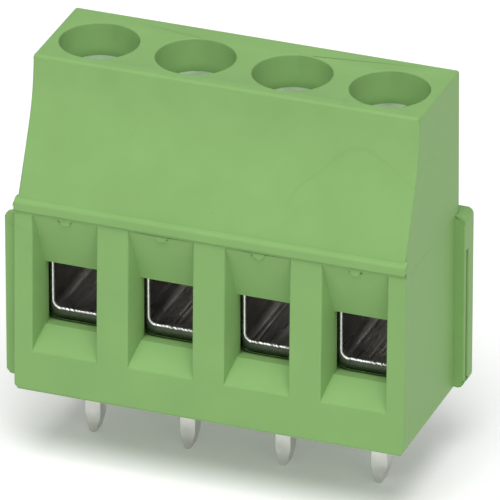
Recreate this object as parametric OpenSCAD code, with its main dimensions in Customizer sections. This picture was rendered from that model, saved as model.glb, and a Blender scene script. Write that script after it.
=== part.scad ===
// Board-mounted screw terminal row: one moulded housing and, for each pole,
// a clamping screw, a lifting sleeve and a folded contact with its solder pin.
//
// The origin lies on the board surface, at the middle of the row of solder pins.
// +X runs along the row, -Y is the side where the wires enter, +Z points away
// from the board.

/* [Row] */
// Number of poles
poles = 4; // [2:1:6]
// Distance between poles
pitch = 5.08; // [5.00:0.01:6.00]

/* [Housing outline] */
// Height of the housing above the board
body_height = 17.4; // [17.0:0.1:19.0]
// Depth from the front face to the back of the rear wing
body_depth = 8.9; // [8.7:0.1:9.4]
// Distance from the front face to the row of solder pins
pin_setback = 4.0; // [3.8:0.1:4.6]
// Distance from the front face to the row of screws
screw_setback = 4.9; // [4.7:0.1:5.2]
// Distance from the front face to the back of the tall upper body
upper_back = 8.1; // [8.0:0.1:8.6]
// Distance from the front face to the front edge of the top
top_setback = 2.3; // [1.8:0.1:2.6]
// Distance from the front face to the soft bend in the front slope
bend_setback = 2.1; // [1.6:0.1:2.4]
// Height of the soft bend in the front slope
bend_height = 15.1; // [14.4:0.1:15.8]
// Radius of the soft bend in the front slope
bend_radius = 8; // [2:0.5:12]
// Distance from the front face to the foot of the slope
foot_setback = 0.2; // [0.1:0.05:0.4]
// Height of the foot of the slope
foot_height = 10.6; // [10.4:0.1:11.0]
// Height of the band across the front, below the foot of the slope
band_height = 0.7; // [0.5:0.05:0.8]
// How far the band stands out of the front face
band_proud = 0.12; // [0.05:0.01:0.25]
// How far the front face leans out at the board
front_draft = 0.25; // [0:0.05:0.5]
// How far each side of the upper body leans in at the top
side_draft = 0.06; // [0:0.02:0.3]
// How far the front frame runs past the pole grid
frame_overhang = 0.13; // [0:0.01:0.3]
// How far the rear wing runs past the pole grid on the groove side
wing_overhang = 0.5; // [0.2:0.05:0.6]
// How far the side panels lie inside the pole grid
panel_inset = 0.04; // [0.02:0.01:0.35]
// Thickness of the front frame at the sides, measured from the front face
frame_thickness = 0.4; // [0.3:0.05:0.6]
// Height of the rear wing
wing_height = 9.6; // [9.2:0.1:9.9]
// How far the sides of the rear wing run forward beside the upper body
wing_lap = 0.5; // [0.1:0.05:0.6]
// Radius of the outer corners of the frame and the wing
corner_radius = 0.4; // [0.1:0.05:0.6]
// Radius of the long moulded edges
edge_radius = 0.18; // [0.05:0.01:0.3]

/* [Stacking rails] */
// How far the stacking tongues stand out of the frame
tongue_reach = 0.68; // [0.3:0.02:0.7]
// Thickness of the stacking tongues
tongue_thickness = 0.22; // [0.15:0.01:0.3]
// Gap on each side of a tongue in its groove
tongue_clearance = 0.04; // [0.02:0.01:0.08]
// Height of the rear rail
rear_rail_height = 7.6; // [5.0:0.1:8.6]
// Distance from the front face to the middle of the rear rail
rear_rail_setback = 8.0; // [7.8:0.05:8.2]

/* [Wire entries] */
// Width of the funnel mouth in the front face
mouth_width = 3.4; // [3.1:0.05:3.9]
// Wall between the band and the upper edge of the funnel mouths
mouth_drop = 0.15; // [0.1:0.05:0.6]
// Height of the funnel mouth's lower edge
mouth_bottom = 2.25; // [1.8:0.05:2.7]
// Width of the throat at the bottom of the funnel
throat_width = 2.88; // [2.6:0.02:3.1]
// Height of the throat's upper edge
throat_top = 6.8; // [6.4:0.05:7.2]
// Height of the throat's lower edge
throat_bottom = 3.3; // [3.1:0.01:3.4]
// Distance from the front face to the throat
throat_setback = 1.0; // [0.8:0.05:1.15]
// Length of the straight throat
throat_length = 0.45; // [0.3:0.05:0.6]
// Depth of the straight rim around each mouth
mouth_rim = 0.05; // [0.03:0.01:0.15]
// Radius of the half-round nub at the top of each mouth
nub_radius = 0.37; // [0.2:0.01:0.5]
// How far each nub runs back into the funnel
nub_depth = 0.4; // [0.3:0.05:0.5]

/* [Driver holes] */
// Radius of the driver holes in the top
driver_hole_radius = 2.0; // [1.96:0.01:2.2]
// Depth from the top to the screw heads
head_recess = 1.55; // [1.3:0.05:2.0]
// Length of the driver hole's full-width stretch
driver_hole_length = 1.4; // [1.0:0.05:1.45]
// Radial gap between a screw head and its pocket
head_clearance = 0.08; // [0.05:0.01:0.1]
// Height of the cone between the driver hole and the head's pocket
pocket_cone = 0.15; // [0.1:0.05:0.4]
// Radial gap between a screw shank and the hole under its head
neck_clearance = 0.2; // [0.1:0.01:0.3]

/* [Screws] */
// Radius of the screw heads
head_radius = 1.75; // [1.6:0.01:1.8]
// Height of the screw heads
head_height = 1.8; // [1.4:0.1:2.0]
// Radius of the rounded upper edge of the screw heads
head_edge = 0.3; // [0.1:0.05:0.5]
// Width of the screwdriver slot
slot_width = 0.65; // [0.5:0.05:0.8]
// Depth of the screwdriver slot
slot_depth = 0.9; // [0.6:0.1:1.1]
// Radius of the threaded shanks
shank_radius = 1.2; // [1.1:0.01:1.25]
// Chamfer at the tip of the shanks
tip_chamfer = 0.3; // [0.1:0.05:0.5]
// Gap between a screw tip and the contact under it
tip_gap = 0.05; // [0.02:0.01:0.1]
// Gap between a screw head and its shoulder
seat_gap = 0.05; // [0.02:0.01:0.1]

/* [Lifting sleeves] */
// Width inside a sleeve
sleeve_bore_width = 2.5; // [2.5:0.01:2.6]
// Thickness of the sleeve's folded sheet
sleeve_sheet = 0.6; // [0.5:0.01:0.65]
// Depth of a sleeve, measured along the wire
sleeve_depth = 4.9; // [4.8:0.05:5.2]
// Gap between the throat and the front of a sleeve
sleeve_front_gap = 0.2; // [0.1:0.02:0.3]
// Height of the sleeve's inner floor when it is fully open
sleeve_floor = 3.92; // [3.8:0.01:4.2]
// Inside radius of the sleeve's lower bends
sleeve_bend = 0.42; // [0.2:0.02:0.6]
// Radial running clearance between a shank and its sleeve
thread_clearance = 0.06; // [0.03:0.01:0.09]
// Gap between the contact bar and the sleeve's inner top
sleeve_top_gap = 0.25; // [0.15:0.01:0.4]
// Gap left between the sleeve's floor and the contact bar when it is closed
closed_gap = 0.08; // [0.05:0.01:0.2]
// Gap between a sleeve and the walls of its chamber
chamber_clearance = 0.08; // [0.04:0.01:0.1]
// Room above a sleeve when it is closed
chamber_headroom = 0.25; // [0.1:0.05:0.4]
// How far the shelf under the front of a sleeve lies below the throat
shelf_drop = 0.1; // [0.05:0.01:0.3]
// How far the shelf reaches under a sleeve, with as much room behind the contact to fit both
shelf_reach = 0.75; // [0.6:0.05:0.9]

/* [Contacts] */
// Thickness of the contact strip
strip_thickness = 0.8; // [0.7:0.01:0.85]
// Gap between the contact bar and each side of the sleeve, which clears the sleeve's bends
bar_side_gap = 0.23; // [0.22:0.01:0.4]
// Width of the contact's rear leg and foot, which snap into the chamber
foot_width = 3.6; // [3.2:0.05:3.7]
// Height of the contact bar above the throat's upper edge
bar_rise = 0.1; // [0.05:0.01:0.2]
// Gap between the back of a sleeve and the rear leg of its contact
leg_gap = 0.15; // [0.1:0.01:0.3]
// Distance from the sleeve's front to the nose of the contact bar
bar_nose_setback = 0.4; // [0.1:0.05:0.8]
// Inside radius of the contact's bends
strip_bend = 0.3; // [0.1:0.05:0.4]
// Gap between an open sleeve and the foot of its contact
foot_gap = 0.1; // [0.05:0.01:0.2]
// Width of a solder pin
pin_width = 0.85; // [0.7:0.01:1.0]
// Length of a solder pin below the board surface
pin_length = 3.9; // [3.0:0.1:5.0]
// Length of a solder pin's tapered tip
pin_taper = 0.9; // [0.4:0.1:1.2]
// Width left at the end of a solder pin
pin_tip_width = 0.35; // [0.2:0.01:0.5]
// Rounding of the corners of a pin's tip
pin_tip_round = 0.2; // [0.05:0.01:0.25]
// Rounding of the shoulders where a pin starts to taper
pin_shoulder_round = 1.2; // [0.5:0.1:1.4]
// Height of the snap ribs that hold the foot
rib_height = 0.6; // [0.3:0.05:0.8]
// Length of the snap ribs
rib_length = 1.2; // [0.8:0.1:1.6]
// How far the snap ribs stand out of the chamber walls
rib_reach = 0.3; // [0.15:0.01:0.4]

/* [Hidden] */

// Directions of the screwdriver slots, in degrees from the row
SLOT_ANGLES = [42, -12, 14, 68];
ROUND = 64;
ARC_STEPS = 6;
// Overlap that lets a cut run clear of the face it opens
CUT = 1;

plastic = [0.53, 0.69, 0.42];
steel = [0.78, 0.79, 0.78];
tinned = [0.72, 0.72, 0.70];

grid_half = poles * pitch / 2;
frame_half = grid_half + frame_overhang;
wing_half = grid_half + wing_overhang;
panel_half = grid_half - panel_inset;

front = -pin_setback;
back = front + body_depth;
band_bottom = foot_height - band_height;
mouth_top = band_bottom - mouth_drop;
upper_rear = front + upper_back;
screw_row = front + screw_setback;
throat_front = front + throat_setback;
chamber_front = throat_front + throat_length;
rear_rail = front + rear_rail_setback;
frame_back = front + frame_thickness;
groove_width = tongue_thickness + 2 * tongue_clearance;
groove_half = frame_half - tongue_reach - tongue_clearance;
front_rail = frame_back + groove_width / 2;

sleeve_front = chamber_front + sleeve_front_gap;
sleeve_rear = sleeve_front + sleeve_depth;
sleeve_half = sleeve_bore_width / 2 + sleeve_sheet;
sleeve_bottom = sleeve_floor - sleeve_sheet;
chamber_half = sleeve_half + chamber_clearance;
leg_front = sleeve_rear + leg_gap;
leg_rear = leg_front + strip_thickness;
shelf_top = throat_bottom - shelf_drop;
pocket_rear = leg_rear + shelf_reach;

bar_bottom = throat_top + bar_rise;
bar_top = bar_bottom + strip_thickness;
bar_width = sleeve_bore_width - 2 * bar_side_gap;
sleeve_ceiling = bar_top + sleeve_top_gap;
sleeve_top = sleeve_ceiling + 2 * sleeve_sheet;
sleeve_travel = bar_bottom - sleeve_floor - closed_gap;
chamber_top = sleeve_top + sleeve_travel + chamber_headroom;

head_top = body_height - head_recess;
head_bottom = head_top - head_height;
shoulder = head_bottom - seat_gap;
head_pocket_radius = head_radius + head_clearance;
driver_hole_bottom = body_height - driver_hole_length;
shank_bottom = bar_top + tip_gap;

foot_top = sleeve_bottom - foot_gap;
foot_bottom = foot_top - strip_thickness;
pin_front = -strip_thickness / 2;
pin_rear = strip_thickness / 2;

function pole_x(pole) = (pole - (poles + 1) / 2) * pitch;

// A corner [a, b, r] of an outline becomes an arc of radius r.
function unit(v) = v / norm(v);
function turn(a, b) = a[0] * b[1] - a[1] * b[0];
function corner_arc(before, corner, after, r) =
    let (
        a = unit(before - corner),
        b = unit(after - corner),
        half = acos(a * b) / 2,
        centre = corner + unit(a + b) * r / sin(half),
        start = corner + a * r / tan(half) - centre,
        from = atan2(start[1], start[0]),
        sweep = -sign(turn(a, b)) * (180 - 2 * half)
    )
    [for (i = [0:ARC_STEPS])
        centre + r * [cos(from + sweep * i / ARC_STEPS), sin(from + sweep * i / ARC_STEPS)]];
function xy(p) = [p[0], p[1]];
function rounded(points) = [
    for (i = [0:len(points) - 1])
        let (
            before = xy(points[(i + len(points) - 1) % len(points)]),
            after = xy(points[(i + 1) % len(points)])
        )
        for (p = points[i][2] > 0
            ? corner_arc(before, xy(points[i]), after, points[i][2])
            : [xy(points[i])]) p
];

// The front face's place at a height, as it leans out towards the board
function front_at(z) = front - front_draft * (1 - z / band_bottom);

// A block from one corner to the other
module block(low, high) {
    translate(low) cube(high - low);
}

// An outline in Y and Z, drawn out to both sides along X
module across(points, half) {
    translate([-half, 0, 0]) rotate([90, 0, 90]) linear_extrude(2 * half) polygon(points);
}

// An outline in X and Z, drawn out along Y
module along(points, low, high) {
    translate([0, high, 0]) rotate([90, 0, 0]) linear_extrude(high - low) polygon(points);
}

// ---- Housing ----

module side_outline() {
    across(rounded([
        [front_at(0), 0, edge_radius],
        [back, 0, edge_radius],
        [back, wing_height, edge_radius],
        [upper_rear, wing_height, 0],
        [upper_rear, body_height, edge_radius],
        [front + top_setback, body_height, edge_radius],
        [front + bend_setback, bend_height, bend_radius],
        [front + foot_setback, foot_height, 0],
        [front - band_proud, foot_height - foot_setback, edge_radius],
        [front - band_proud, band_bottom, edge_radius / 2],
        [front, band_bottom, 0]
    ]), wing_half + CUT);
}

// The width of the upper body, which narrows towards the top
module upper_width() {
    along([
        [-grid_half, wing_height], [grid_half, wing_height],
        [grid_half - side_draft, body_height + CUT], [side_draft - grid_half, body_height + CUT]
    ], front - CUT, back + CUT);
}

// The width of the front frame, up to the foot of the slope
module frame_width() {
    along(rounded([
        [-frame_half, 0, corner_radius], [frame_half, 0, corner_radius],
        [frame_half, foot_height, 0], [-frame_half, foot_height, 0]
    ]), front - CUT, frame_back);
}

module wing_width() {
    along(rounded([
        [-frame_half, 0, corner_radius], [wing_half, 0, corner_radius],
        [wing_half, wing_height, corner_radius], [-frame_half, wing_height, corner_radius]
    ]), upper_rear - wing_lap, back + CUT);
}

module housing_blank() {
    intersection() {
        side_outline();
        union() {
            block([-panel_half, front - CUT, 0], [panel_half, back + CUT, wing_height + wing_lap]);
            upper_width();
            frame_width();
            wing_width();
        }
    }
}

// The tapered funnel that leads a wire to the throat
module funnel() {
    intersection() {
        across([
            [front - CUT, mouth_bottom], [front_at(mouth_bottom), mouth_bottom],
            [throat_front, throat_bottom], [throat_front, throat_top],
            [front + mouth_rim, mouth_top], [front - CUT, mouth_top]
        ], mouth_width);
        translate([0, 0, mouth_bottom - CUT]) linear_extrude(mouth_top - mouth_bottom + 2 * CUT)
            polygon([
                [-mouth_width / 2, front - CUT], [mouth_width / 2, front - CUT],
                [mouth_width / 2, front + mouth_rim], [throat_width / 2, throat_front],
                [-throat_width / 2, throat_front], [-mouth_width / 2, front + mouth_rim]
            ]);
    }
}

module throat() {
    block([-throat_width / 2, throat_front - CUT / 10, throat_bottom],
          [throat_width / 2, chamber_front + CUT / 10, throat_top]);
}

// The chamber that guides the sleeve, and the pocket under it that is open towards the board
module chamber() {
    block([-chamber_half, chamber_front, shelf_top], [chamber_half, leg_front, chamber_top]);
    block([-chamber_half, sleeve_front + shelf_reach, -CUT], [chamber_half, pocket_rear, sleeve_ceiling]);
}

module screw_passage() {
    translate([0, screw_row, chamber_top - CUT])
        cylinder(r = shank_radius + neck_clearance, h = shoulder - chamber_top + 2 * CUT, $fn = ROUND);
    translate([0, screw_row, shoulder])
        cylinder(r = head_pocket_radius, h = driver_hole_bottom - shoulder + CUT, $fn = ROUND);
    translate([0, screw_row, driver_hole_bottom - pocket_cone])
        cylinder(r1 = head_pocket_radius, r2 = driver_hole_radius, h = pocket_cone, $fn = ROUND);
    translate([0, screw_row, driver_hole_bottom])
        cylinder(r = driver_hole_radius, h = driver_hole_length + CUT, $fn = ROUND);
}

// The half-round nub at the top of a mouth
module nub() {
    translate([0, front + nub_depth, mouth_top]) rotate([90, 0, 0])
        cylinder(r = nub_radius, h = nub_depth - mouth_rim / 2, $fn = ROUND);
}

// Two ribs under the foot plate, with a slope to snap over
module snap_ribs() {
    for (side = [-1, 1])
        along([
            [side * (chamber_half + CUT / 10), foot_bottom], [side * (chamber_half - rib_reach), foot_bottom],
            [side * chamber_half, foot_bottom - rib_height], [side * (chamber_half + CUT / 10), foot_bottom - rib_height]
        ], pin_rear + strip_thickness, pin_rear + strip_thickness + rib_length);
}

// A stacking tongue with rounded ends, or the groove for one
module rail(reach_from, reach_to, low, high, middle, thickness) {
    along(rounded([
        [reach_from, low, 0], [reach_to, low, corner_radius],
        [reach_to, high, corner_radius], [reach_from, high, 0]
    ]), middle - thickness / 2, middle + thickness / 2);
}

module tongues() {
    for (place = [[front_rail, wing_height], [rear_rail, rear_rail_height]])
        rail(-groove_half, -frame_half - tongue_reach, tongue_clearance + corner_radius,
            place[1] - tongue_clearance, place[0], tongue_thickness);
}

module grooves() {
    for (place = [[front_rail, wing_height, frame_half], [rear_rail, rear_rail_height, wing_half]])
        block([place[2] - tongue_reach - tongue_clearance, place[0] - groove_width / 2, -CUT],
              [wing_half + CUT, place[0] + groove_width / 2, place[1]]);
}

module housing() {
    color(plastic) {
        difference() {
            union() {
                housing_blank();
                tongues();
            }
            grooves();
            for (pole = [1:poles]) translate([pole_x(pole), 0, 0]) {
                funnel();
                throat();
                chamber();
                screw_passage();
            }
        }
        for (pole = [1:poles]) translate([pole_x(pole), 0, 0]) {
            nub();
            snap_ribs();
        }
    }
}

// ---- Screws ----

module screw(pole) {
    color(steel) translate([pole_x(pole), screw_row, 0]) difference() {
        rotate_extrude($fn = ROUND) polygon(concat(
            [[0, shank_bottom], [shank_radius - tip_chamfer, shank_bottom],
             [shank_radius, shank_bottom + tip_chamfer], [shank_radius, head_bottom],
             [head_radius, head_bottom]],
            corner_arc([head_radius, head_bottom], [head_radius, head_top], [0, head_top], head_edge),
            [[0, head_top]]
        ));
        rotate([0, 0, SLOT_ANGLES[(pole - 1) % len(SLOT_ANGLES)]])
            block([-head_radius - CUT, -slot_width / 2, head_top - slot_depth],
                  [head_radius + CUT, slot_width / 2, head_top + CUT]);
    }
}

// ---- Lifting sleeves ----

module sleeve(pole) {
    outer_bend = sleeve_bend + sleeve_sheet;
    color(tinned) translate([pole_x(pole), 0, 0]) difference() {
        along(rounded([
            [-sleeve_half, sleeve_bottom, outer_bend], [sleeve_half, sleeve_bottom, outer_bend],
            [sleeve_half, sleeve_top, outer_bend], [-sleeve_half, sleeve_top, outer_bend]
        ]), sleeve_front, sleeve_rear);
        along(rounded([
            [-sleeve_bore_width / 2, sleeve_floor, sleeve_bend], [sleeve_bore_width / 2, sleeve_floor, sleeve_bend],
            [sleeve_bore_width / 2, sleeve_ceiling, 0], [-sleeve_bore_width / 2, sleeve_ceiling, 0]
        ]), sleeve_front - CUT, sleeve_rear + CUT);
        translate([0, screw_row, sleeve_ceiling - CUT])
            cylinder(r = shank_radius + thread_clearance, h = sleeve_top - sleeve_ceiling + 2 * CUT, $fn = ROUND);
    }
}

// ---- Contacts ----

// The folded strip: a bar that runs through the sleeve, a rear leg and a foot
module strip() {
    outer_bend = strip_bend + strip_thickness;
    bar_nose = sleeve_front + bar_nose_setback;
    intersection() {
        across(rounded([
            [bar_nose, bar_bottom, 0],
            [leg_front, bar_bottom, strip_bend],
            [leg_front, foot_top, strip_bend],
            [pin_front, foot_top, strip_bend],
            [pin_front, foot_bottom, 0],
            [leg_rear, foot_bottom, outer_bend],
            [leg_rear, bar_top, outer_bend],
            [bar_nose, bar_top, strip_bend]
        ]), foot_width / 2);
        union() {
            block([-bar_width / 2, bar_nose - CUT, foot_bottom - CUT], [bar_width / 2, leg_rear + CUT, bar_top + CUT]);
            block([-foot_width / 2, leg_front, foot_bottom - CUT], [foot_width / 2, leg_rear + CUT, bar_bottom - strip_bend]);
            block([-foot_width / 2, pin_rear, foot_bottom - CUT], [foot_width / 2, leg_rear + CUT, foot_top + CUT / 10]);
        }
    }
}

// The flat pin with a rounded, tongue-shaped tip
module solder_pin() {
    taper_top = pin_taper - pin_length;
    pin_top = foot_bottom + strip_thickness / 2;
    along(rounded([
        [-pin_tip_width / 2, -pin_length, pin_tip_round], [pin_tip_width / 2, -pin_length, pin_tip_round],
        [pin_width / 2, taper_top, pin_shoulder_round], [pin_width / 2, pin_top, 0],
        [-pin_width / 2, pin_top, 0], [-pin_width / 2, taper_top, pin_shoulder_round]
    ]), pin_front, pin_rear);
}

module contact(pole) {
    color(tinned) translate([pole_x(pole), 0, 0]) {
        strip();
        solder_pin();
    }
}

housing();
for (pole = [1:poles]) {
    screw(pole);
    sleeve(pole);
    contact(pole);
}
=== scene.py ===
"""Looks of a four-pole screw terminal for circuit boards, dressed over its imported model."""

import logging
import math
from dataclasses import dataclass, field
from enum import Enum
from typing import Callable, Iterable, Optional, Sequence, Union

import bmesh
import bpy
from mathutils import Matrix, Vector
from mathutils.bvhtree import BVHTree


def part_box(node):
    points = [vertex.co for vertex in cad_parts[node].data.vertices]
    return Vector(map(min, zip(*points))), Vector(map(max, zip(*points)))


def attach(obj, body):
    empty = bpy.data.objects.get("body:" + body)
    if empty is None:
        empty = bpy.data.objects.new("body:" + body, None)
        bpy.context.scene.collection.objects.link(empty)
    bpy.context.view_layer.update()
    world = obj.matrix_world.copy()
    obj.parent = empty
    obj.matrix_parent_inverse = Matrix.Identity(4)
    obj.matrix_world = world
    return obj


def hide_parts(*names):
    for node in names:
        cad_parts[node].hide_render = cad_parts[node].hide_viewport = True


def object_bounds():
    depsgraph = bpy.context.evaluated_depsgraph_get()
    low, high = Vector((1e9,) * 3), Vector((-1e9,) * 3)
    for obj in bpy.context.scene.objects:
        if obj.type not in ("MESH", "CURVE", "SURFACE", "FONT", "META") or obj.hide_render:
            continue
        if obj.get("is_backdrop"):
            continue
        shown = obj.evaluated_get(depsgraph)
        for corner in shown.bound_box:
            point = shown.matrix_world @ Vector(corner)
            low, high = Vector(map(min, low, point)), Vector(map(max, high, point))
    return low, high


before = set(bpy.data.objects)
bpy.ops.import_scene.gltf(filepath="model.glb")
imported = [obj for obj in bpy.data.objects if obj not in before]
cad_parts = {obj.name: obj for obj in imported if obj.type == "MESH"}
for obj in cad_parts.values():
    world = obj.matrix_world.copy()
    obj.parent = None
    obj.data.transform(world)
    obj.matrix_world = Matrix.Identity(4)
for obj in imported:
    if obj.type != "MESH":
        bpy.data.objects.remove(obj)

MM = 0.001
POLES = 4
FLAT_ANGLE = math.radians(0.4)
SHARP_ANGLE = math.radians(37)
SAME_PLACE = 1e-6
log = logging.getLogger("terminal")

Colour = tuple[float, float, float]
Input = Union[bpy.types.NodeSocket, float, int, tuple, bpy.types.Material]


class Slot(Enum):
    """The material slots of the record."""

    HOUSING = "housing"
    SCREW = "screw"
    SLEEVE = "sleeve"
    CONTACT = "contact"


class Solver(Enum):
    """What a cut does to the solid it meets."""

    DIFFERENCE = "DIFFERENCE"


# ---- Node helpers ----


class Nodes:
    """A node tree that is written as small expressions.

    Args:
        tree: The node tree to fill, for a material or for Geometry Nodes.
    """

    def __init__(self, tree: bpy.types.NodeTree) -> None:
        self.tree = tree

    def add(self, kind: str, inputs: Optional[dict] = None, **settings: object) -> bpy.types.Node:
        """Adds a node.

        Args:
            kind: The node's type.
            inputs: Values or sockets for its inputs, by name or by number.
            settings: Properties of the node itself.

        Returns:
            The new node.
        """
        node = self.tree.nodes.new(kind)
        for key, value in settings.items():
            setattr(node, key, value)
        for key, value in (inputs or {}).items():
            self.feed(node.inputs[key], value)
        return node

    def feed(self, socket: bpy.types.NodeSocket, value: Input) -> None:
        """Links a socket to an input, or sets the input's value."""
        if isinstance(value, bpy.types.NodeSocket):
            self.tree.links.new(value, socket)
        else:
            socket.default_value = value

    def math(self, operation: str, *values: Input, clamp: bool = False) -> bpy.types.NodeSocket:
        """Returns the result of a maths node on up to three values."""
        node = self.add("ShaderNodeMath", dict(enumerate(values)), operation=operation, use_clamp=clamp)
        return node.outputs[0]

    def vector(self, x: Input, y: Input, z: Input) -> bpy.types.NodeSocket:
        """Returns a vector of three values."""
        return self.add("ShaderNodeCombineXYZ", {"X": x, "Y": y, "Z": z}).outputs[0]


class ShapeTree(Nodes):
    """A Geometry Nodes tree with named sizes as its inputs.

    Args:
        name: The name of the tree.
    """

    def __init__(self, name: str) -> None:
        super().__init__(bpy.data.node_groups.new(name, "GeometryNodeTree"))
        self.entry = self.add("NodeGroupInput")
        self.values: dict[str, float] = {}
        self.identifiers: dict[str, str] = {}
        self.tree.interface.new_socket("Geometry", in_out="OUTPUT", socket_type="NodeSocketGeometry")

    def size(self, name: str, value: float) -> bpy.types.NodeSocket:
        """Adds a named size to the tree's inputs.

        Args:
            name: The name of the input.
            value: Its value, in metres or radians.

        Returns:
            The socket that carries the size.
        """
        item = self.tree.interface.new_socket(name, in_out="INPUT", socket_type="NodeSocketFloat")
        self.identifiers[name] = item.identifier
        self.values[name] = value
        return self.entry.outputs[name]

    def outline(self, points: Sequence[tuple], closed: bool, arc_points: int = 5) -> bpy.types.NodeSocket:
        """Draws a line through points, with a round corner where a point has a radius.

        Args:
            points: The corners as (a, b, radius), which may be sockets or numbers.
            closed: Whether the line ends where it starts.
            arc_points: How many pieces a round corner has.

        Returns:
            A curve with a in X and b in Z.
        """
        index = self.add("GeometryNodeInputIndex").outputs[0]
        places = self.add("GeometryNodeIndexSwitch", {0: index}, data_type="VECTOR")
        radii = self.add("GeometryNodeIndexSwitch", {0: index}, data_type="FLOAT")
        for switch in (places, radii):
            while len(switch.index_switch_items) < len(points):
                switch.index_switch_items.new()
        for number, (a, b, radius) in enumerate(points):
            self.feed(places.inputs[number + 1], self.vector(a, 0.0, b))
            self.feed(radii.inputs[number + 1], radius)
        line = self.add("GeometryNodeMeshLine", {"Count": len(points)})
        placed = self.add("GeometryNodeSetPosition", {"Geometry": line.outputs[0], "Position": places.outputs[0]})
        curve = self.add("GeometryNodeMeshToCurve", {0: placed.outputs[0]})
        cyclic = self.add("GeometryNodeSetSplineCyclic", {"Geometry": curve.outputs[0], "Cyclic": closed})
        fillet = self.add(
            "GeometryNodeFilletCurve",
            {"Curve": cyclic.outputs[0], "Radius": radii.outputs[0], "Count": arc_points, "Limit Radius": True},
            mode="POLY",
        )
        return fillet.outputs[0]

    def sampled(self, curve: bpy.types.NodeSocket, what: str, index: Input) -> bpy.types.NodeSocket:
        """Reads a vector such as the position or the tangent at a numbered point of a curve."""
        value = self.add(what).outputs[0]
        sample = self.add(
            "GeometryNodeSampleIndex",
            {"Geometry": curve, "Value": value, "Index": index},
            data_type="FLOAT_VECTOR",
            domain="POINT",
        )
        return sample.outputs[0]

    def even(self, curve: bpy.types.NodeSocket, spacing: float) -> bpy.types.NodeSocket:
        """Returns a curve with points at even steps, about as far apart as the spacing."""
        length = self.add("GeometryNodeCurveLength", {0: curve}).outputs[0]
        points = self.math("ADD", self.math("DIVIDE", length, spacing), 2.0)
        return self.add("GeometryNodeResampleCurve", {"Curve": curve, "Count": points}, mode="COUNT").outputs[0]

    def count(self, curve: bpy.types.NodeSocket) -> bpy.types.NodeSocket:
        """Returns how many points a curve has."""
        return self.add("GeometryNodeAttributeDomainSize", {0: curve}, component="CURVE").outputs["Point Count"]

    def surface(
        self,
        rows: Input,
        columns: Input,
        place: Callable[[bpy.types.NodeSocket, bpy.types.NodeSocket], bpy.types.NodeSocket],
    ) -> bpy.types.NodeSocket:
        """Makes a surface from a rule that gives a place for each row and column.

        Args:
            rows: How many points the surface has one way.
            columns: How many points it has the other way.
            place: The rule, from the row's and column's numbers to a position.

        Returns:
            The mesh, with its doubles merged.
        """
        grid = self.add("GeometryNodeMeshGrid", {"Vertices X": columns, "Vertices Y": rows})
        index = self.add("GeometryNodeInputIndex").outputs[0]
        column = self.math("FLOOR", self.math("DIVIDE", self.math("ADD", index, 0.5), rows))
        row = self.math("ROUND", self.math("SUBTRACT", index, self.math("MULTIPLY", column, rows)))
        placed = self.add("GeometryNodeSetPosition", {"Geometry": grid.outputs[0], "Position": place(row, column)})
        merged = self.add("GeometryNodeMergeByDistance", {"Geometry": placed.outputs[0], "Distance": 1e-7})
        return merged.outputs[0]

    def turned(self, profile: bpy.types.NodeSocket, steps: int) -> bpy.types.NodeSocket:
        """Turns a profile around the Z axis.

        Args:
            profile: A curve with the radius in X and the height in Z.
            steps: How many steps the full turn has.

        Returns:
            The turned mesh.
        """

        def place(row: bpy.types.NodeSocket, column: bpy.types.NodeSocket) -> bpy.types.NodeSocket:
            """Returns the place of one point of the turned surface."""
            point = self.add("ShaderNodeSeparateXYZ", {0: self.sampled(profile, "GeometryNodeInputPosition", row)})
            angle = self.math("MULTIPLY", column, math.tau / steps)
            x = self.math("MULTIPLY", point.outputs[0], self.math("COSINE", angle))
            y = self.math("MULTIPLY", point.outputs[0], self.math("SINE", angle))
            return self.vector(x, y, point.outputs[2])

        return self.surface(self.count(profile), steps + 1, place)

    def finish(self, parts: Iterable[bpy.types.NodeSocket], material: bpy.types.Material) -> bpy.types.Node:
        """Joins parts, realises instances and sets the material.

        Args:
            parts: The meshes to join.
            material: The material of all of them.

        Returns:
            The Set Material node, whose output is the tree's result.
        """
        join = self.add("GeometryNodeJoinGeometry")
        for part in parts:
            self.tree.links.new(part, join.inputs[0])
        real = self.add("GeometryNodeRealizeInstances", {0: join.outputs[0]})
        return self.add("GeometryNodeSetMaterial", {"Geometry": real.outputs[0], "Material": material})

    def close(self, result: bpy.types.NodeSocket) -> None:
        """Ends the tree with its result."""
        self.tree.links.new(result, self.add("NodeGroupOutput").inputs[0])

    def build(self, name: str, **changes: float) -> bpy.types.Object:
        """Makes a plain mesh object from the tree.

        Args:
            name: The name of the object.
            changes: New values for named inputs, with blanks written as underscores.

        Returns:
            The object, with no modifier left on it.
        """
        holder = new_object(name + "_rule", bpy.data.meshes.new(name + "_rule"))
        modifier = holder.modifiers.new("rule", "NODES")
        modifier.node_group = self.tree
        values = dict(self.values, **{key.replace("_", " "): value for key, value in changes.items()})
        for key, value in values.items():
            modifier[self.identifiers[key]] = value
        return plain(holder, name)


# ---- Mesh helpers ----


def new_object(name: str, mesh: bpy.types.Mesh) -> bpy.types.Object:
    """Links a new object for a mesh into the scene."""
    thing = bpy.data.objects.new(name, mesh)
    bpy.context.scene.collection.objects.link(thing)
    return thing


def plain(source: bpy.types.Object, name: str) -> bpy.types.Object:
    """Turns an object and its modifiers into a plain mesh object.

    Args:
        source: The object to evaluate, which is then removed.
        name: The name of the new object.

    Returns:
        The new object, at the origin.
    """
    bpy.context.view_layer.update()
    graph = bpy.context.evaluated_depsgraph_get()
    mesh = bpy.data.meshes.new_from_object(source.evaluated_get(graph), depsgraph=graph)
    bpy.data.objects.remove(source)
    mesh.name = name
    return new_object(name, mesh)


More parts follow.
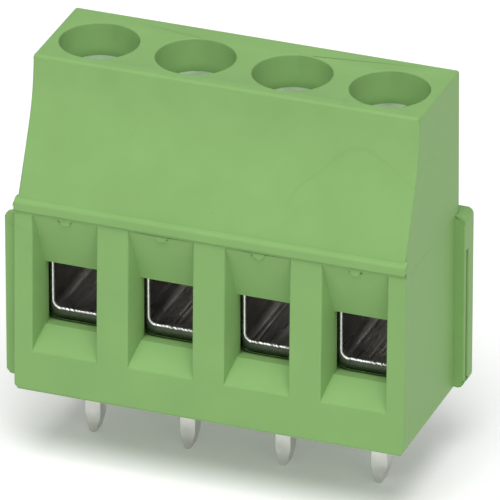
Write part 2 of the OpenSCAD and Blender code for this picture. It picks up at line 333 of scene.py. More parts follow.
def tidy_mesh(thing: bpy.types.Object, sharp_angle: float, fill: bool = False) -> None:
    """Merges doubles, closes open ends, turns faces outwards and marks sharp edges.

    Args:
        thing: The object whose mesh is tidied.
        sharp_angle: Edges that turn by more than this stay sharp, in radians.
        fill: Whether open ends are closed.
    """
    work = bmesh.new()
    work.from_mesh(thing.data)
    bmesh.ops.remove_doubles(work, verts=work.verts, dist=1e-7)
    bmesh.ops.dissolve_degenerate(work, edges=work.edges, dist=1e-7)
    if fill:
        bmesh.ops.holes_fill(work, edges=[edge for edge in work.edges if edge.is_boundary], sides=0)
    bmesh.ops.recalc_face_normals(work, faces=work.faces)
    for face in work.faces:
        face.smooth = True
    for edge in work.edges:
        edge.smooth = len(edge.link_faces) == 2 and edge.calc_face_angle(0.0) < sharp_angle
    work.to_mesh(thing.data)
    work.free()


def cut(thing: bpy.types.Object, cutter: bpy.types.Object, how: Solver = Solver.DIFFERENCE) -> bpy.types.Object:
    """Cuts a solid with another and returns the plain result; the cutter is removed."""
    modifier = thing.modifiers.new("cut", "BOOLEAN")
    modifier.object = cutter
    modifier.operation = how.value
    modifier.solver = "MANIFOLD"
    result = plain(thing, thing.name)
    bpy.data.objects.remove(cutter)
    return result


def flattened(thing: bpy.types.Object) -> bpy.types.Object:
    """Marks sharp edges and lets the large faces set the normals, so that they look flat beside rounded edges.

    Args:
        thing: The object with its edges rounded.

    Returns:
        The object as a plain mesh.
    """
    tidy_mesh(thing, SHARP_ANGLE)
    weighted = thing.modifiers.new("normals", "WEIGHTED_NORMAL")
    weighted.mode = "FACE_AREA"
    weighted.weight = 90
    weighted.keep_sharp = True
    return plain(thing, thing.name)


def pole_x(pole: int) -> float:
    """Returns where a pole's screw stands along the row, in metres."""
    low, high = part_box(f"screw_{pole}")
    return (low.x + high.x) / 2


# ---- Finishes ----


def material(name: str) -> tuple[bpy.types.Material, Nodes, bpy.types.Node]:
    """Starts a material.

    Args:
        name: The name of the material.

    Returns:
        The material, its nodes and its Principled shader.
    """
    made = bpy.data.materials.new(name)
    made.use_nodes = True
    nodes = Nodes(made.node_tree)
    made.node_tree.nodes.clear()
    shader = nodes.add("ShaderNodeBsdfPrincipled")
    output = nodes.add("ShaderNodeOutputMaterial")
    made.node_tree.links.new(shader.outputs[0], output.inputs[0])
    return made, nodes, shader


@dataclass(frozen=True)
class MouldedPolyamide:
    """Satin glass-free polyamide with faint flow lines and specks."""

    colour: Colour = (0.236, 0.424, 0.146)
    dark: Colour = (0.17, 0.325, 0.105)
    gloss: float = 0.12

    def build(self) -> bpy.types.Material:
        """Returns the material."""
        made, nodes, shader = material("moulded_polyamide")
        place = nodes.add("ShaderNodeTexCoord").outputs["Object"]
        mottle = nodes.add(
            "ShaderNodeTexNoise", {"Vector": place, "Scale": 420.0, "Detail": 3.0, "Roughness": 0.55}
        ).outputs[0]
        grain = nodes.add("ShaderNodeTexNoise", {"Vector": place, "Scale": 9000.0, "Detail": 2.0}).outputs[0]
        tone = nodes.add("ShaderNodeMapRange", {0: mottle, 1: 0.3, 2: 0.7, 3: 0.965, 4: 1.035}).outputs[0]
        lines = self.flow_lines(nodes, place)
        specks = self.specks(nodes, place)
        toned = nodes.add("ShaderNodeVectorMath", {0: self.colour, 3: tone}, operation="SCALE").outputs[0]
        lined = nodes.add(
            "ShaderNodeMix", {0: lines, 6: toned, 7: (*self.dark, 1)}, data_type="RGBA"
        ).outputs[2]
        marked = nodes.add(
            "ShaderNodeMix", {0: specks, 6: lined, 7: (*self.dark, 1)}, data_type="RGBA"
        ).outputs[2]
        nodes.feed(shader.inputs["Base Color"], marked)
        nodes.feed(shader.inputs["Specular IOR Level"], self.gloss)
        rough = nodes.add("ShaderNodeMapRange", {0: mottle, 1: 0.3, 2: 0.7, 3: 0.42, 4: 0.5}).outputs[0]
        nodes.feed(shader.inputs["Roughness"], rough)
        height = nodes.math("ADD", nodes.math("MULTIPLY", grain, 0.6), nodes.math("MULTIPLY", lines, -0.8))
        bump = nodes.add(
            "ShaderNodeBump",
            {"Strength": 0.12, "Distance": 0.02 * MM, "Height": height},
        )
        nodes.feed(shader.inputs["Normal"], bump.outputs[0])
        return made

    def flow_lines(self, nodes: Nodes, place: bpy.types.NodeSocket) -> bpy.types.NodeSocket:
        """Returns the mask of the hair-thin flow lines that the melt leaves."""
        warp = nodes.add("ShaderNodeTexNoise", {"Vector": place, "Scale": 95.0, "Detail": 1.5}).outputs[0]
        away = nodes.math("ABSOLUTE", nodes.math("SUBTRACT", warp, 0.5))
        thin = nodes.add("ShaderNodeMapRange", {0: away, 1: 0.0, 2: 0.006, 3: 0.22, 4: 0.0}).outputs[0]
        where = nodes.add("ShaderNodeTexNoise", {"Vector": place, "Scale": 160.0, "Detail": 0.0}).outputs[0]
        patch = nodes.add("ShaderNodeMapRange", {0: where, 1: 0.5, 2: 0.62, 3: 0.0, 4: 1.0}).outputs[0]
        return nodes.math("MULTIPLY", thin, patch)

    def specks(self, nodes: Nodes, place: bpy.types.NodeSocket) -> bpy.types.NodeSocket:
        """Returns the mask of the small dark specks in the plastic."""
        cells = nodes.add("ShaderNodeTexVoronoi", {"Vector": place, "Scale": 600.0})
        dot = nodes.add(
            "ShaderNodeMapRange", {0: cells.outputs["Distance"], 1: 0.02, 2: 0.055, 3: 0.35, 4: 0.0}
        ).outputs[0]
        pick = nodes.add("ShaderNodeSeparateColor", {0: cells.outputs["Color"]}).outputs[0]
        return nodes.math("MULTIPLY", dot, nodes.math("GREATER_THAN", pick, 0.93))


@dataclass(frozen=True)
class BareMetal:
    """Plated sheet or turned metal with fine marks.

    Args:
        name: The name of the material.
        colour: The colour of its reflections.
        roughness: How far its reflections spread.
        marks: How strongly its fine marks show.
        mark_scale: How many marks there are in a metre.
    """

    name: str
    colour: Colour
    roughness: float
    marks: float
    mark_scale: float
    stretch: Colour = (1.0, 1.0, 1.0)

    def build(self) -> bpy.types.Material:
        """Returns the material."""
        made, nodes, shader = material(self.name)
        place = nodes.add("ShaderNodeTexCoord").outputs["Object"]
        drawn = nodes.add("ShaderNodeMapping", {"Vector": place, "Scale": self.stretch}).outputs[0]
        fine = nodes.add(
            "ShaderNodeTexNoise", {"Vector": drawn, "Scale": self.mark_scale, "Detail": 4.0}
        ).outputs[0]
        cloud = nodes.add("ShaderNodeTexNoise", {"Vector": place, "Scale": 900.0, "Detail": 2.0}).outputs[0]
        tone = nodes.add("ShaderNodeMapRange", {0: cloud, 1: 0.3, 2: 0.7, 3: 0.86, 4: 1.08}).outputs[0]
        coloured = nodes.add("ShaderNodeVectorMath", {0: self.colour, 3: tone}, operation="SCALE").outputs[0]
        nodes.feed(shader.inputs["Base Color"], coloured)
        nodes.feed(shader.inputs["Metallic"], 1.0)
        low, high = self.roughness * 0.8, self.roughness * 1.25
        rough = nodes.add("ShaderNodeMapRange", {0: fine, 1: 0.3, 2: 0.7, 3: low, 4: high}).outputs[0]
        nodes.feed(shader.inputs["Roughness"], rough)
        bump = nodes.add("ShaderNodeBump", {"Strength": self.marks, "Distance": 0.01 * MM, "Height": fine})
        nodes.feed(shader.inputs["Normal"], bump.outputs[0])
        return made


@dataclass(frozen=True)
class TurnedZinc:
    """Zinc-plated steel with turning rings around the screw's own axis.

    Args:
        pole: The pole whose axis the rings go round.
        axis: Where that axis stands, in metres.
    """

    pole: int
    axis: Vector
    colour: Colour = (0.90, 0.91, 0.92)
    metallic: float = 0.8
    ring_scale: float = 14000.0

    def build(self) -> bpy.types.Material:
        """Returns the material."""
        made, nodes, shader = material(f"turned_zinc_{self.pole}")
        place = nodes.add("ShaderNodeTexCoord").outputs["Object"]
        centred = nodes.add("ShaderNodeMapping", {"Vector": place, "Location": tuple(-self.axis)}).outputs[0]
        parts = nodes.add("ShaderNodeSeparateXYZ", {0: centred})
        flat = nodes.vector(parts.outputs[0], parts.outputs[1], 0.0)
        radius = nodes.add("ShaderNodeVectorMath", {0: flat}, operation="LENGTH").outputs["Value"]
        rings = nodes.add(
            "ShaderNodeTexNoise", {"Vector": nodes.vector(radius, 0.0, 0.0), "Scale": self.ring_scale}
        ).outputs[0]
        cloud = nodes.add("ShaderNodeTexNoise", {"Vector": place, "Scale": 1200.0, "Detail": 3.0}).outputs[0]
        tone = nodes.add("ShaderNodeMapRange", {0: cloud, 1: 0.3, 2: 0.7, 3: 0.88, 4: 1.06}).outputs[0]
        coloured = nodes.add("ShaderNodeVectorMath", {0: self.colour, 3: tone}, operation="SCALE").outputs[0]
        nodes.feed(shader.inputs["Base Color"], coloured)
        nodes.feed(shader.inputs["Metallic"], self.metallic)
        rough = nodes.add("ShaderNodeMapRange", {0: cloud, 1: 0.3, 2: 0.7, 3: 0.3, 4: 0.45}).outputs[0]
        nodes.feed(shader.inputs["Roughness"], rough)
        bump = nodes.add("ShaderNodeBump", {"Strength": 0.5, "Distance": 0.03 * MM, "Height": rings})
        nodes.feed(shader.inputs["Normal"], bump.outputs[0])
        return made


@dataclass(frozen=True)
class StudioWhite:
    """Pale floor that shows white where no shadow falls."""

    colour: Colour = (0.95, 0.95, 0.95)
    lift: float = 0.13

    def build(self) -> bpy.types.Material:
        """Returns the material."""
        made, nodes, shader = material("studio_floor")
        nodes.feed(shader.inputs["Base Color"], (*self.colour, 1))
        nodes.feed(shader.inputs["Roughness"], 0.9)
        rays = nodes.add("ShaderNodeLightPath")
        seen = nodes.math("MAXIMUM", rays.outputs["Is Camera Ray"], rays.outputs["Is Glossy Ray"])
        nodes.feed(shader.inputs["Emission Color"], (1.0, 1.0, 1.0, 1.0))
        nodes.feed(shader.inputs["Emission Strength"], nodes.math("MULTIPLY", seen, self.lift))
        return made


# ---- Housing ----


@dataclass
class Housing:
    """The moulded housing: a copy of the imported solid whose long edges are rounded.

    Args:
        body: The body that it rides on.
    """

    body: str = "housing"
    rim: float = 0.07 * MM
    ridge: float = 0.11 * MM
    lip: float = 0.08 * MM
    fine: float = 0.045 * MM
    hole_radius: float = 2.0 * MM
    hole_taper: float = 1.5 * MM
    rim_slack: float = 1.01
    mouth_reach: float = 1.2
    chamber_top: float = 0.9
    mouth_half: float = 1.72 * MM
    chamber_front: float = 0.95 * MM
    segments: int = 3
    crease: float = math.radians(28)
    finish: MouldedPolyamide = field(default_factory=MouldedPolyamide)

    def build(self) -> bpy.types.Object:
        """Returns the finished housing."""
        low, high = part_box("housing")
        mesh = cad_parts["housing"].data.copy()
        mesh.materials.clear()
        thing = new_object("moulded_housing", mesh)
        work = bmesh.new()
        work.from_mesh(mesh)
        bmesh.ops.remove_doubles(work, verts=work.verts, dist=2e-7)
        bmesh.ops.dissolve_limit(
            work, angle_limit=FLAT_ANGLE, verts=work.verts, edges=work.edges, delimit=set()
        )
        self.deepen_holes(work)
        bmesh.ops.triangulate(work, faces=work.faces, quad_method="BEAUTY", ngon_method="BEAUTY")
        flat = [
            edge
            for edge in work.edges
            if len(edge.link_faces) == 2 and edge.calc_face_angle(0.0) < FLAT_ANGLE
        ]
        bmesh.ops.beautify_fill(work, faces=work.faces, edges=flat, use_restrict_tag=False, method="AREA")
        weights = work.edges.layers.float.new("bevel_weight_edge")
        widest = max(self.rim, self.ridge, self.lip)
        for face in work.faces:
            face.smooth = True
        for edge in work.edges:
            if len(edge.link_faces) == 2 and edge.calc_face_angle(0.0) > self.crease:
                edge[weights] = self.rounding(edge, low, high) / widest
                edge.smooth = edge[weights] > 0.0
        work.to_mesh(mesh)
        work.free()
        bevel = thing.modifiers.new("edges", "BEVEL")
        bevel.width = widest
        bevel.limit_method = "WEIGHT"
        bevel.segments = self.segments
        bevel.use_clamp_overlap = False
        bevel.miter_outer = "MITER_ARC"
        thing = plain(thing, "moulded_housing")
        self.keep_inside(thing)
        thing = flattened(thing)
        thing.data.materials.clear()
        thing.data.materials.append(self.finish.build())
        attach(thing, self.body)
        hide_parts("housing")
        return thing

    def keep_inside(self, thing: bpy.types.Object) -> None:
        """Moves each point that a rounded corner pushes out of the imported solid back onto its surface.

        Args:
            thing: The housing with its edges rounded.
        """
        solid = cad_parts["housing"].data
        places = [vertex.co for vertex in solid.vertices]
        surface = BVHTree.FromPolygons(places, [face.vertices for face in solid.polygons])
        for vertex in thing.data.vertices:
            place, normal, _, _ = surface.find_nearest(vertex.co)
            if (vertex.co - place).dot(normal) > SAME_PLACE:
                vertex.co = place

    def across(self, place: Vector) -> float:
        """Returns how far a place lies from the nearest screw's axis."""
        low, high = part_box("screw_1")
        beside = min(abs(place.x - pole_x(pole)) for pole in range(1, POLES + 1))
        return math.hypot(beside, place.y - (low.y + high.y) / 2)

    def deepen_holes(self, work: bmesh.types.BMesh) -> None:
        """Lets each driver hole taper down beside its screw's head, so that no ledge shows there.

        Args:
            work: The housing's mesh.
        """
        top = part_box("screw_1")[1].z
        for vertex in work.verts:
            if abs(vertex.co.z - top) < SAME_PLACE and self.across(vertex.co) < self.hole_radius:
                vertex.co.z -= self.hole_taper

    def rounding(self, edge: bmesh.types.BMEdge, low: Vector, high: Vector) -> float:
        """Says how far an edge is rounded.

        Args:
            edge: The edge, with its two faces.
            low: The lowest corner of the housing.
            high: Its highest corner.

        Returns:
            The width of the rounding, in metres.
        """
        middle = (edge.verts[0].co + edge.verts[1].co) / 2
        if not edge.is_convex:
            return 0.0
        beside = min(abs(middle.x - pole_x(pole)) for pole in range(1, POLES + 1))
        on_top = abs(middle.z - high.z) < SAME_PLACE
        if on_top and self.across(middle) < self.hole_radius * self.rim_slack:
            return self.rim
        behind_mouth = middle.y > low.y + self.chamber_front and beside < self.mouth_half * self.mouth_reach
        if behind_mouth and middle.z < high.z * self.chamber_top:
            return 0.0
        if middle.z > high.z * 0.6:
            return self.ridge
        if middle.x < low.x + 0.7 * MM:
            return self.fine
        return self.lip


# ---- Screws ----


@dataclass
class ClampScrew:
    """A slotted clamp screw with a turned head and a cut thread.

    Args:
        pole: The pole that it stands in.
        slot_angle: Which way its slot points, in radians from the row.
    """

    pole: int
    slot_angle: float
    slot_width: float = 0.65 * MM
    slot_depth: float = 0.9 * MM
    edge_radius: float = 0.14 * MM
    crown: float = 0.06 * MM
    head_height: float = 1.8 * MM
    crest_radius: float = 1.2 * MM
    thread_depth: float = 0.16 * MM
    thread_pitch: float = 0.45 * MM
    steps: int = 96

    def tree(self, metal: bpy.types.Material) -> ShapeTree:
        """Returns the rule that makes the head and the threaded shank."""
        low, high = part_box(f"screw_{self.pole}")
        rule = ShapeTree(f"clamp_screw_{self.pole}")
        head = rule.size("Head Radius", (high.x - low.x) / 2)
        top = rule.size("Head Top", high.z)
        bottom = rule.size("Head Bottom", high.z - self.head_height)
        edge = rule.size("Edge Radius", self.edge_radius)
        crown = rule.size("Crown", self.crown)
        tip = rule.size("Tip Height", low.z)
        crest = rule.size("Crest Radius", self.crest_radius)
        depth = rule.size("Thread Depth", self.thread_depth)
        pitch = rule.size("Thread Pitch", self.thread_pitch)
        slot_width = rule.size("Slot Width", self.slot_width)
        slot_depth = rule.size("Slot Depth", self.slot_depth)
        slot_angle = rule.size("Slot Angle", self.slot_angle)
        shoulder = rule.math("SUBTRACT", top, crown)
        profile = rule.outline(
            [(0.0, bottom, 0.0), (head, bottom, 0.05 * MM), (head, shoulder, edge), (0.0, top, 0.0)],
            closed=False,
            arc_points=7,
        )
        disc = rule.turned(profile, self.steps)
        span = rule.math("MULTIPLY", slot_depth, 2.0)
        blade_size = rule.vector(rule.math("MULTIPLY", head, 3.0), slot_width, span)
        blade = rule.add("GeometryNodeMeshCube", {"Size": blade_size})
        placed = rule.add(
            "GeometryNodeTransform",
            {
                "Geometry": blade.outputs[0],
                "Translation": rule.vector(0.0, 0.0, top),
                "Rotation": rule.vector(0.0, 0.0, slot_angle),
            },
        )
        slotted = rule.add("GeometryNodeMeshBoolean", {"Mesh 1": disc, "Mesh 2": placed.outputs[0]}, solver="EXACT")
        shank = self.thread(rule, tip, bottom, crest, depth, pitch)
        place = rule.vector(pole_x(self.pole), (low.y + high.y) / 2, 0.0)
        result = rule.finish([slotted.outputs[0], shank], metal)
        moved = rule.add("GeometryNodeTransform", {"Geometry": result.inputs[0].links[0].from_socket, "Translation": place})
        rule.feed(result.inputs["Geometry"], moved.outputs[0])
        rule.close(result.outputs[0])
        return rule

    def thread(
        self,
        rule: ShapeTree,
        tip: bpy.types.NodeSocket,
        top: bpy.types.NodeSocket,
        crest: bpy.types.NodeSocket,
        depth: bpy.types.NodeSocket,
        pitch: bpy.types.NodeSocket,
    ) -> bpy.types.NodeSocket:
        """Makes the shank, whose radius follows the thread's helix.

        Args:
            rule: The tree that it is made in.
            tip: The height of the screw's tip.
            top: The height of the head's underside.
            crest: The thread's outer radius.
            depth: The thread's depth.
            pitch: The thread's pitch.

        Returns:
            The closed shank.
        """
        rows, steps = 150, 40

        def place(row: bpy.types.NodeSocket, column: bpy.types.NodeSocket) -> bpy.types.NodeSocket:
            """Returns the place of one point of the shank."""
            along = rule.math("DIVIDE", rule.math("SUBTRACT", row, 1.0), rows - 3.0, clamp=True)
            height = rule.math("SUBTRACT", top, tip)
            z = rule.math("ADD", tip, rule.math("MULTIPLY", height, along))
            turn = rule.math("DIVIDE", column, float(steps))
            phase = rule.math("FRACT", rule.math("SUBTRACT", rule.math("DIVIDE", z, pitch), turn))
            ramp = rule.math("ABSOLUTE", rule.math("SUBTRACT", rule.math("MULTIPLY", phase, 2.0), 1.0))
            groove = rule.math("MULTIPLY", rule.math("SUBTRACT", 1.0, ramp), depth)
            taper = rule.math("SUBTRACT", 1.0, rule.math("DIVIDE", rule.math("SUBTRACT", z, tip), pitch), clamp=True)
            radius = rule.math("SUBTRACT", rule.math("SUBTRACT", crest, groove), rule.math("MULTIPLY", taper, depth))
            inner = rule.math("GREATER_THAN", row, 0.5)
            outer = rule.math("LESS_THAN", row, rows - 1.5)
            radius = rule.math("MULTIPLY", radius, rule.math("MULTIPLY", inner, outer))
            angle = rule.math("MULTIPLY", turn, math.tau)
            x = rule.math("MULTIPLY", radius, rule.math("COSINE", angle))
            y = rule.math("MULTIPLY", radius, rule.math("SINE", angle))
            return rule.vector(x, y, z)

        return rule.surface(rows, steps + 1, place)

    def build(self) -> bpy.types.Object:
        """Returns the finished screw."""
        low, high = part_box(f"screw_{self.pole}")
        metal = TurnedZinc(self.pole, Vector((pole_x(self.pole), (low.y + high.y) / 2, 0.0))).build()
        thing = self.tree(metal).build(f"clamp_screw_{self.pole}")
        tidy_mesh(thing, math.radians(35))
        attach(thing, f"screw_{self.pole}")
        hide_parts(f"screw_{self.pole}")
        return thing


# ---- Lifting sleeves ----


@dataclass
class LiftingSleeve:
    """A clamp sleeve folded from one strip, with a burr on its cut front edge; the burr carries a painted highlight
    and the face below it painted shade.

    Args:
        pole: The pole that it works in.
        steel: The material of the sheet.
        burr: The material of the burred edge: a near-white copy of the steel whose brightness is a painted
            highlight.
        shaded_front: The material of the front edge under the burr: near-black green steel that is painted shade and
            a painted reflection of the dark inside.
    """

    pole: int
    steel: bpy.types.Material
    burr: bpy.types.Material
    shaded_front: bpy.types.Material
    sheet: float = 0.6 * MM
    inner_bend: float = 0.42 * MM
    top_bend: float = 0.25 * MM
    bevel: float = 0.12 * MM
    ragged: float = 0.13 * MM
    bore_radius: float = 1.26 * MM
    spacing: float = 0.05 * MM
    fold_gap: float = 0.015 * MM
    burr_end: Optional[bpy.types.NodeSocket] = field(default=None, init=False)
    rise: Optional[bpy.types.NodeSocket] = field(default=None, init=False)
    ground: Optional[bpy.types.NodeSocket] = field(default=None, init=False)

    def tree(self) -> ShapeTree:
        """Returns the rule that folds the strip into the sleeve."""
        low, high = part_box(f"sleeve_{self.pole}")
        rule = ShapeTree(f"lifting_sleeve_{self.pole}")
        left = rule.size("Left", low.x)
        right = rule.size("Right", high.x)
        floor = rule.size("Floor", low.z)
        top = rule.size("Top", high.z)
        front = rule.size("Front", low.y)
        back = rule.size("Back", high.y)
        sheet = rule.size("Sheet", self.sheet)
        bend = rule.size("Inner Bend", self.inner_bend)
        top_bend = rule.size("Top Bend", self.top_bend)
        bevel = rule.size("Burr Width", self.bevel)
        ragged = rule.size("Burr Rise", self.ragged)
        half = rule.math("MULTIPLY", sheet, 0.5)
        low_radius = rule.math("ADD", bend, half)
        wall_left = rule.math("ADD", left, half)
        wall_right = rule.math("SUBTRACT", right, half)
        base = rule.math("ADD", floor, half)
        upper = rule.math("SUBTRACT", top, half)
        lower = rule.math("SUBTRACT", rule.math("SUBTRACT", upper, sheet), self.fold_gap)
        tab_end = rule.math("SUBTRACT", rule.math("SUBTRACT", wall_right, half), self.fold_gap)
        flap_end = rule.math("ADD", left, rule.math("MULTIPLY", sheet, 0.35))
        top_radius = rule.math("ADD", top_bend, half)
        path = rule.outline(
            [
                (tab_end, lower, 0.0),
                (wall_left, lower, top_radius),
                (wall_left, base, low_radius),
                (wall_right, base, low_radius),
                (wall_right, upper, top_radius),
                (flap_end, upper, 0.0),
            ],
            closed=False,
            arc_points=10,
        )
        dense = rule.even(path, self.spacing)
        section = rule.outline(
            [
                (rule.math("MULTIPLY", half, -1.0), front, 0.05 * MM),
                (half, front, bevel),
                (half, back, 0.06 * MM),
                (rule.math("MULTIPLY", half, -1.0), back, 0.06 * MM),
            ],
            closed=True,
            arc_points=5,
        )
        self.burr_end = rule.math("ADD", front, rule.math("MULTIPLY", bevel, 1.05))
        self.rise = ragged
        self.ground = rule.math("ADD", base, 0.02 * MM)
        sheet_metal = rule.finish([self.sweep(rule, dense, section)], self.steel)
        # The burr's faces get the near-white steel: the burr is real, its brightness is a painted highlight.
        middle = rule.add("GeometryNodeInputPosition").outputs[0]
        depth = rule.add("ShaderNodeSeparateXYZ", {0: middle}).outputs[1]
        near = rule.math("LESS_THAN", depth, self.burr_end)
        past = rule.math("GREATER_THAN", depth, rule.math("ADD", front, rule.math("MULTIPLY", bevel, 0.04)))
        edge = rule.add(
            "GeometryNodeSetMaterial",
            {
                "Geometry": sheet_metal.outputs[0],
                "Selection": rule.math("MULTIPLY", near, past),
                "Material": self.burr,
            },
        )
        # The sheet's front face gets the near-black steel: painted shade and a painted reflection, not a real dark
        # finish.
        fore = rule.math("LESS_THAN", depth, rule.math("ADD", front, rule.math("MULTIPLY", bevel, 0.03)))
        painted_front_shade = rule.add(
            "GeometryNodeSetMaterial", {"Geometry": edge.outputs[0], "Selection": fore, "Material": self.shaded_front}
        )
        rule.close(painted_front_shade.outputs[0])
        return rule

    def sweep(
        self, rule: ShapeTree, path: bpy.types.NodeSocket, section: bpy.types.NodeSocket
    ) -> bpy.types.NodeSocket:
        """Draws the sheet's section along the folded path.

        Args:
            rule: The tree that it is made in.
            path: The middle of the sheet, in X and Z.
            section: The sheet's section: across the sheet in X, along the wire in Z.

        Returns:
            The open-ended sheet.
        """
        around = rule.count(section)

        def place(row: bpy.types.NodeSocket, column: bpy.types.NodeSocket) -> bpy.types.NodeSocket:
            """Returns the place of one point of the sheet."""
            wrapped = rule.math("MODULO", row, around)
            on_section = rule.sampled(section, "GeometryNodeInputPosition", wrapped)
            corner = rule.add("ShaderNodeSeparateXYZ", {0: on_section})
            spine = rule.add("ShaderNodeSeparateXYZ", {0: rule.sampled(path, "GeometryNodeInputPosition", column)})
            along = rule.add("ShaderNodeSeparateXYZ", {0: rule.sampled(path, "GeometryNodeInputTangent", column)})
            across = rule.math("ADD", corner.outputs[0], self.burr_height(rule, corner, spine, column))
            x = rule.math("MULTIPLY_ADD", along.outputs[2], rule.math("MULTIPLY", across, -1.0), spine.outputs[0])
            z = rule.math("MULTIPLY_ADD", along.outputs[0], across, spine.outputs[2])
            return rule.vector(x, corner.outputs[2], z)

        return rule.surface(rule.math("ADD", around, 1.0), rule.count(path), place)

    def burr_height(
        self, rule: ShapeTree, corner: bpy.types.Node, spine: bpy.types.Node, column: bpy.types.NodeSocket
    ) -> bpy.types.NodeSocket:
        """Says how far the burr stands up, which is most on the sleeve's floor."""
        inside = rule.math("GREATER_THAN", corner.outputs[0], 0.0)
        fore = rule.math("MULTIPLY", inside, rule.math("LESS_THAN", corner.outputs[2], self.burr_end))
        on_floor = rule.math("LESS_THAN", spine.outputs[2], self.ground)
        share = rule.math("MULTIPLY_ADD", on_floor, 0.85, 0.15)
        seed = rule.math("MULTIPLY_ADD", column, 0.37, self.pole * 19.0)
        noise = rule.add("ShaderNodeTexNoise", {"Vector": rule.vector(seed, 0.0, 0.0), "Scale": 1.0, "Detail": 2.0})
        height = rule.math("MULTIPLY", rule.math("SUBTRACT", noise.outputs[0], 0.35), 2.0)
        return rule.math("MULTIPLY", rule.math("MULTIPLY", fore, share), rule.math("MULTIPLY", height, self.rise))

    def build(self) -> bpy.types.Object:
        """Returns the finished sleeve."""
        thing = self.tree().build(f"lifting_sleeve_{self.pole}")
        tidy_mesh(thing, math.radians(35), fill=True)
        low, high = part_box(f"sleeve_{self.pole}")
        screw_low, screw_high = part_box(f"screw_{self.pole}")
        work = bmesh.new()
        bmesh.ops.create_cone(
            work, cap_ends=True, segments=64, radius1=self.bore_radius, radius2=self.bore_radius, depth=3 * MM
        )
        row = (screw_low.y + screw_high.y) / 2
        bmesh.ops.translate(work, verts=work.verts, vec=(pole_x(self.pole), row, high.z - self.sheet))
        mesh = bpy.data.meshes.new("bore")
        work.to_mesh(mesh)
        work.free()
        mesh.materials.append(self.steel)
        thing = cut(thing, new_object("bore", mesh))
        tidy_mesh(thing, math.radians(35))
        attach(thing, f"sleeve_{self.pole}")
        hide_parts(f"sleeve_{self.pole}")
        return thing


# ---- Contacts ----


@dataclass
class FoldedContact:
    """A folded contact strip that ends in its square solder pin.

    Args:
        pole: The pole that it stands in.
        metal: The material of the strip.
    """

    pole: int
    metal: bpy.types.Material
    edge: float = 0.05 * MM

    def build(self) -> bpy.types.Object:
        """Returns the finished contact."""
        name = f"folded_contact_{self.pole}"
        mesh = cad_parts[f"contact_{self.pole}"].data.copy()
        mesh.materials.clear()
        thing = new_object(name, mesh)
        work = bmesh.new()
        work.from_mesh(mesh)
        bmesh.ops.remove_doubles(work, verts=work.verts, dist=2e-7)
        bmesh.ops.dissolve_limit(
            work, angle_limit=FLAT_ANGLE, verts=work.verts, edges=work.edges, delimit=set()
        )
        for face in work.faces:
            face.smooth = True
        work.to_mesh(mesh)
        work.free()
        bevel = thing.modifiers.new("edges", "BEVEL")
        bevel.width = self.edge
        bevel.limit_method = "ANGLE"
        bevel.angle_limit = math.radians(40)
        bevel.segments = 3
        bevel.use_clamp_overlap = False
        thing = flattened(plain(thing, name))
        thing.data.materials.clear()
        thing.data.materials.append(self.metal)
        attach(thing, "housing")
        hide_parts(f"contact_{self.pole}")
        return thing


# ---- Studio ----


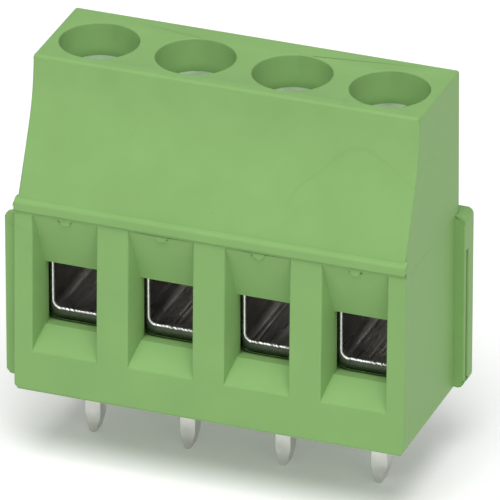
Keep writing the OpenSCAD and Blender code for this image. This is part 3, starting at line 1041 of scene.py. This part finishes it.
@dataclass
class Studio:
    """Floor, lamps, backdrop and camera."""

    azimuth: float = math.radians(20.59)
    elevation: float = math.radians(27.29)
    distance: float = 508 * MM
    lens: float = 739.2
    target: Colour = (0.0, 0.57 * MM, 8.13 * MM)
    offset_right: float = 0.41 * MM
    offset_down: float = -0.724 * MM
    floor_half: float = 600 * MM
    ambient: float = 0.4

    def build(self) -> None:
        """Puts the studio together."""
        self.floor()
        self.backdrop()
        self.lamps()
        self.camera()
        settings = bpy.context.scene.view_settings
        settings.view_transform = "Standard"

    def floor(self) -> None:
        """Lays the floor under the tips of the solder pins."""
        low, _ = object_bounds()
        half = self.floor_half
        corners = [(-half, -half), (half, -half), (half, half), (-half, half)]
        mesh = bpy.data.meshes.new("studio_floor")
        mesh.from_pydata([(x, y, low[2]) for x, y in corners], [], [(0, 1, 2, 3)])
        mesh.materials.append(StudioWhite().build())
        new_object("studio_floor", mesh)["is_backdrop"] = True

    def backdrop(self) -> None:
        """Gives an even white sky."""
        world = bpy.data.worlds.new("studio_sky")
        bpy.context.scene.world = world
        world.use_nodes = True
        nodes = Nodes(world.node_tree)
        world.node_tree.nodes.clear()
        rays = nodes.add("ShaderNodeLightPath")
        soft = nodes.add("ShaderNodeBackground", {"Color": (1.0, 1.0, 1.0, 1.0), "Strength": self.ambient})
        white = nodes.add("ShaderNodeBackground", {"Color": (1.0, 1.0, 1.0, 1.0), "Strength": 1.0})
        seen = rays.outputs["Is Camera Ray"]
        mix = nodes.add("ShaderNodeMixShader", {0: seen, 1: soft.outputs[0], 2: white.outputs[0]})
        output = nodes.add("ShaderNodeOutputWorld")
        world.node_tree.links.new(mix.outputs[0], output.inputs[0])

    def lamps(self) -> None:
        """Hangs the soft lamps."""
        self.lamp("key", (0.05, -0.24, 0.6), 0.4, 3.15)
        self.lamp("fill", (0.5, -0.38, 0.3), 0.4, 0.5)

    def lamp(self, name: str, place: tuple[float, float, float], size: float, power: float) -> None:
        """Hangs one square lamp that faces the object.

        Args:
            name: The name of the lamp.
            place: Where it hangs, in metres.
            size: The length of its side, in metres.
            power: Its power, in watts.
        """
        light = bpy.data.lights.new(name, "AREA")
        light.shape = "SQUARE"
        light.size = size
        light.energy = power
        thing = bpy.data.objects.new(name, light)
        thing.location = place
        thing.rotation_euler = (Vector(self.target) - Vector(place)).to_track_quat("-Z", "Y").to_euler()
        bpy.context.scene.collection.objects.link(thing)

    def camera(self) -> None:
        """Sets the camera."""
        data = bpy.data.cameras.new("camera")
        data.lens = self.lens
        data.sensor_width = 36.0
        data.clip_start = 0.01
        data.clip_end = 10.0
        towards = Vector((
            math.sin(self.azimuth) * math.cos(self.elevation),
            -math.cos(self.azimuth) * math.cos(self.elevation),
            math.sin(self.elevation),
        ))
        thing = bpy.data.objects.new("camera", data)
        thing.rotation_euler = towards.to_track_quat("Z", "Y").to_euler()
        turned = thing.rotation_euler.to_matrix()
        aim = Vector(self.target) + turned @ Vector((self.offset_right, self.offset_down, 0.0))
        thing.location = aim + towards * self.distance
        bpy.context.scene.collection.objects.link(thing)
        bpy.context.scene.camera = thing


def main() -> None:
    """Builds the pieces in order and reports each of them."""
    logging.basicConfig(level=logging.INFO, format="%(message)s")
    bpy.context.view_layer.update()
    steel = BareMetal("plated_steel", (0.52, 0.50, 0.49), 0.3, 0.15, 3000.0, (1.0, 0.15, 1.0)).build()
    # Near-white copy of the steel for the burr: the ragged edge is real, its brightness is a painted highlight.
    burr = BareMetal("burr_painted_highlight", (0.95, 0.94, 0.91), 0.42, 0.6, 9000.0).build()
    # Near-black green steel for the sleeve's front face: painted shade and a painted reflection of the dark green
    # inside.
    shaded_front = BareMetal("front_painted_shade", (0.07, 0.085, 0.06), 0.3, 0.8, 6000.0).build()
    tin = BareMetal("tinned_copper", (0.74, 0.73, 0.71), 0.34, 0.3, 4000.0, (1.0, 1.0, 0.15)).build()
    angles = (42.0, -12.0, 14.0, 68.0)
    makers = [Housing()]
    makers += [ClampScrew(pole, math.radians(angles[pole - 1])) for pole in range(1, POLES + 1)]
    makers += [LiftingSleeve(pole, steel, burr, shaded_front) for pole in range(1, POLES + 1)]
    makers += [FoldedContact(pole, tin) for pole in range(1, POLES + 1)]
    for maker in makers:
        piece = maker.build()
        log.info("%s: %d faces", piece.name, len(piece.data.polygons))
    Studio().build()


if __name__ == "__main__":
    main()
